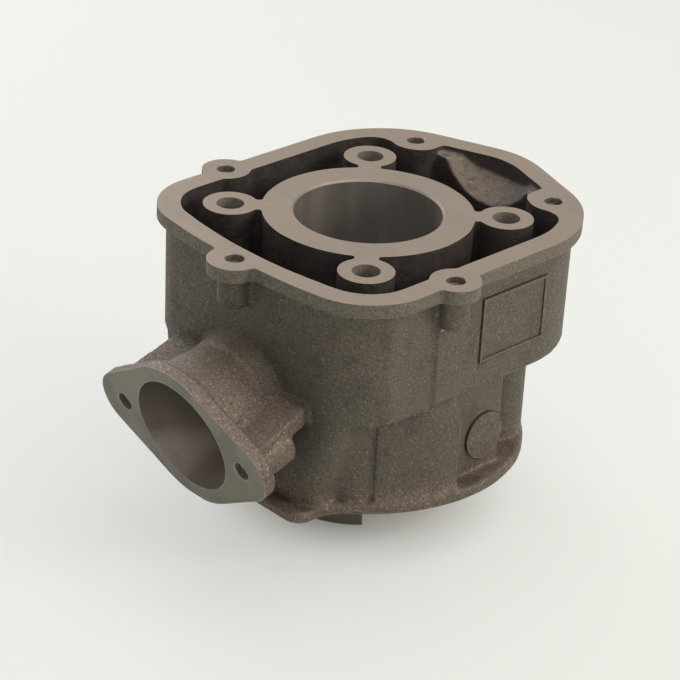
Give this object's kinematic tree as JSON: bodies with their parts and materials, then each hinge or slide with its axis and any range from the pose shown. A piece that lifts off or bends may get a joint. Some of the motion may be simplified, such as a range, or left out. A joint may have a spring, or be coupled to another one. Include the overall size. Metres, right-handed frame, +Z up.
{
  "type": "engine cylinder",
  "caption": "Liquid-cooled two-stroke engine cylinder cast in one piece, with an open-deck water jacket and a flanged exhaust outlet.",
  "frame": {"origin": "on the bore axis in the plane of the base gasket face", "axes": "+Z up the bore to the cylinder head, -Y towards the exhaust outlet, +X to the right seen from the outlet"},
  "size_m": [0.101, 0.1296, 0.084],
  "materials": {
    "iron": "sand cast, machined on the faces"
  },
  "bodies": {
    "root": {"cylinder_casting": "iron"}
  },
  "joints": []
}
